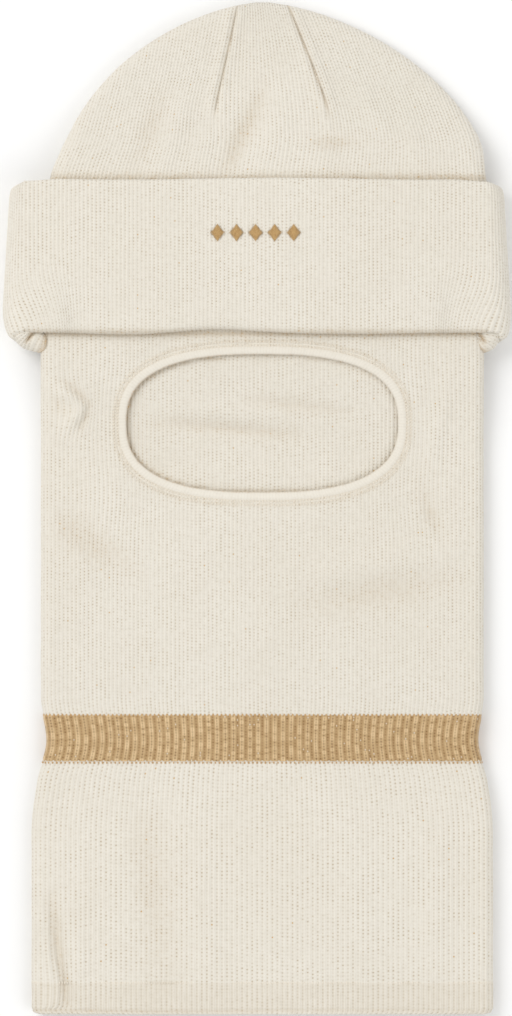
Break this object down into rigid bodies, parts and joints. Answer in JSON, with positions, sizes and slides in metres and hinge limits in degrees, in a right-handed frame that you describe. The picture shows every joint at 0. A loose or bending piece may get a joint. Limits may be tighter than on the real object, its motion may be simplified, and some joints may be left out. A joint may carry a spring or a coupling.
{
  "type": "knitted balaclava",
  "caption": "Knitted winter balaclava lying flat: beanie with turned-up cuff, bound oval face opening, ribbed band and fold-up neck gaiter.",
  "frame": {"origin": "middle of the garment's bounding box, on the surface that it lies on", "axes": "+Y to the crown along the garment, +X to the right seen from above with the front up, +Z out of the front"},
  "size_m": [0.241, 0.48, 0.023],
  "materials": {
    "cream_knit": "fine knitted wool blend, soft and matt, vertical wales",
    "binding_knit": "smooth rolled knit binding, matt",
    "tan_rib": "ribbed knit in tan yarn, matt",
    "tan_thread": "satin-stitched embroidery thread, soft gloss",
    "cream_thread": "sewing and linking yarn, matt",
    "label_satin": "plain woven satin label, blank"
  },
  "bodies": {
    "hood": {"beanie_front": "cream_knit", "beanie_back": "cream_knit", "dart_seam_front_left": "cream_thread", "dart_seam_front_right": "cream_thread", "dart_seam_back_left": "cream_thread", "dart_seam_back_right": "cream_thread", "join_seam": "cream_thread", "cuff_roll_front": "cream_knit", "cuff_roll_back": "cream_knit", "face_tube_front": "cream_knit", "face_tube_back": "cream_knit", "face_binding": "binding_knit", "binding_linking": "cream_thread", "band_link_upper": "tan_rib", "rib_band": "tan_rib", "band_link_lower": "cream_knit"},
    "neck": {"gaiter_front": "cream_knit", "gaiter_back": "cream_knit", "hem_stitching": "cream_thread", "neck_hem": "cream_knit", "care_label": "label_satin"},
    "cuff_front_flap": {"cuff_front": "cream_knit", "embroidered_emblem": "tan_thread"},
    "cuff_back_flap": {"cuff_back": "cream_knit"},
    "cuff_left_fold": {"cuff_side_left": "cream_knit"},
    "cuff_right_fold": {"cuff_side_right": "cream_knit"}
  },
  "joints": [
    {"name": "neck_fold", "type": "hinge", "parent": "hood", "child": "neck", "pos_m": [0.0032, -0.1215, 0.01075], "axis": [-1, 0, 0], "range_deg": [0, 180]},
    {"name": "cuff_turn", "type": "hinge", "parent": "hood", "child": "cuff_front_flap", "pos_m": [0, 0.0859, 0.02], "axis": [1, 0, 0], "range_deg": [0, 180]},
    {"name": "cuff_back_turn", "type": "hinge", "parent": "hood", "child": "cuff_back_flap", "pos_m": [0, 0.0859, -0.00015], "axis": [-1, 0, 0], "range_deg": [0, 180]},
    {"name": "cuff_left_slide", "type": "slide", "parent": "hood", "child": "cuff_left_fold", "axis": [0, -1, 0], "range_m": [0, 0.0697]},
    {"name": "cuff_right_slide", "type": "slide", "parent": "hood", "child": "cuff_right_fold", "axis": [0, -1, 0], "range_m": [0, 0.0697]}
  ],
  "couplings": [
    {"joint": "cuff_back_turn", "follows": "cuff_turn", "ratio": 1},
    {"joint": "cuff_left_slide", "follows": "cuff_turn", "m_per_rad": 0.022154},
    {"joint": "cuff_right_slide", "follows": "cuff_turn", "m_per_rad": 0.022154}
  ]
}
